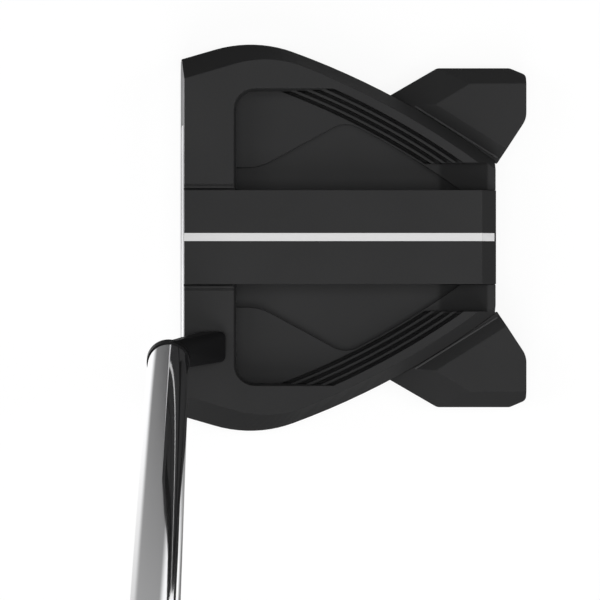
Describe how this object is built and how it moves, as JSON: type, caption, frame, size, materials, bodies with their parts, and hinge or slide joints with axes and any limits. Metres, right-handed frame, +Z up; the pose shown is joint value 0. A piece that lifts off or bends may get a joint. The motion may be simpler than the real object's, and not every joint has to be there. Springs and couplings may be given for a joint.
{
  "type": "mallet putter",
  "caption": "Right-handed mallet golf putter with a stepped two-rail head, centre beam with sight line, rear wings, slant neck, tapered steel shaft and flat-fronted grip.",
  "frame": {"origin": "on the flat sole, under the sight line, 42 mm behind the face's top edge", "axes": "+X from toe to heel, +Y from the face to the rear, +Z up from the ground the sole rests on"},
  "size_m": [0.3774, 0.107, 0.8152],
  "materials": {
    "black_aluminium": "satin black anodised",
    "black_steel": "satin black",
    "white_inlay": "smooth white",
    "pale_insert": "fine milled",
    "bond_tape": "matte",
    "steel": "turned",
    "chrome": "polished",
    "paper_tape": "matte",
    "grip_foam": "foam",
    "grip_rubber": "matte"
  },
  "bodies": {
    "club": {"head_frame": "black_aluminium", "sole_plate": "black_aluminium", "centre_beam": "black_aluminium", "sight_line": "white_inlay", "toe_wing": "black_aluminium", "heel_wing": "black_aluminium", "face_insert": "pale_insert", "insert_tape": "bond_tape", "frame_screws": "steel", "beam_screws": "steel", "wing_screws": "steel", "hosel": "black_steel", "hosel_screw": "steel", "shaft": "chrome", "grip_tape": "paper_tape", "grip_core": "grip_foam", "grip_skin": "grip_rubber", "grip_mouth": "grip_rubber", "grip_cap": "grip_rubber"},
    "toe_weight": {"toe_weight": "steel"},
    "toe_weight_screw": {"toe_weight_screw": "steel"},
    "heel_weight": {"heel_weight": "steel"},
    "heel_weight_screw": {"heel_weight_screw": "steel"}
  },
  "joints": [
    {"name": "toe_weight_travel", "type": "slide", "parent": "club", "child": "toe_weight", "axis": [0, 0, -1], "range_m": [0, 0.005]},
    {"name": "toe_screw_turn", "type": "hinge", "parent": "toe_weight", "child": "toe_weight_screw", "pos_m": [-0.03418, 0.0355, 0], "axis": [0, 0, -1], "range_deg": [0, 2572]},
    {"name": "heel_weight_travel", "type": "slide", "parent": "club", "child": "heel_weight", "axis": [0, 0, -1], "range_m": [0, 0.005]},
    {"name": "heel_screw_turn", "type": "hinge", "parent": "heel_weight", "child": "heel_weight_screw", "pos_m": [0.03418, 0.0355, 0], "axis": [0, 0, -1], "range_deg": [0, 2572]}
  ],
  "couplings": [
    {"joint": "toe_screw_turn", "follows": "toe_weight_travel", "rad_per_m": 8976},
    {"joint": "heel_screw_turn", "follows": "heel_weight_travel", "rad_per_m": 8976}
  ]
}
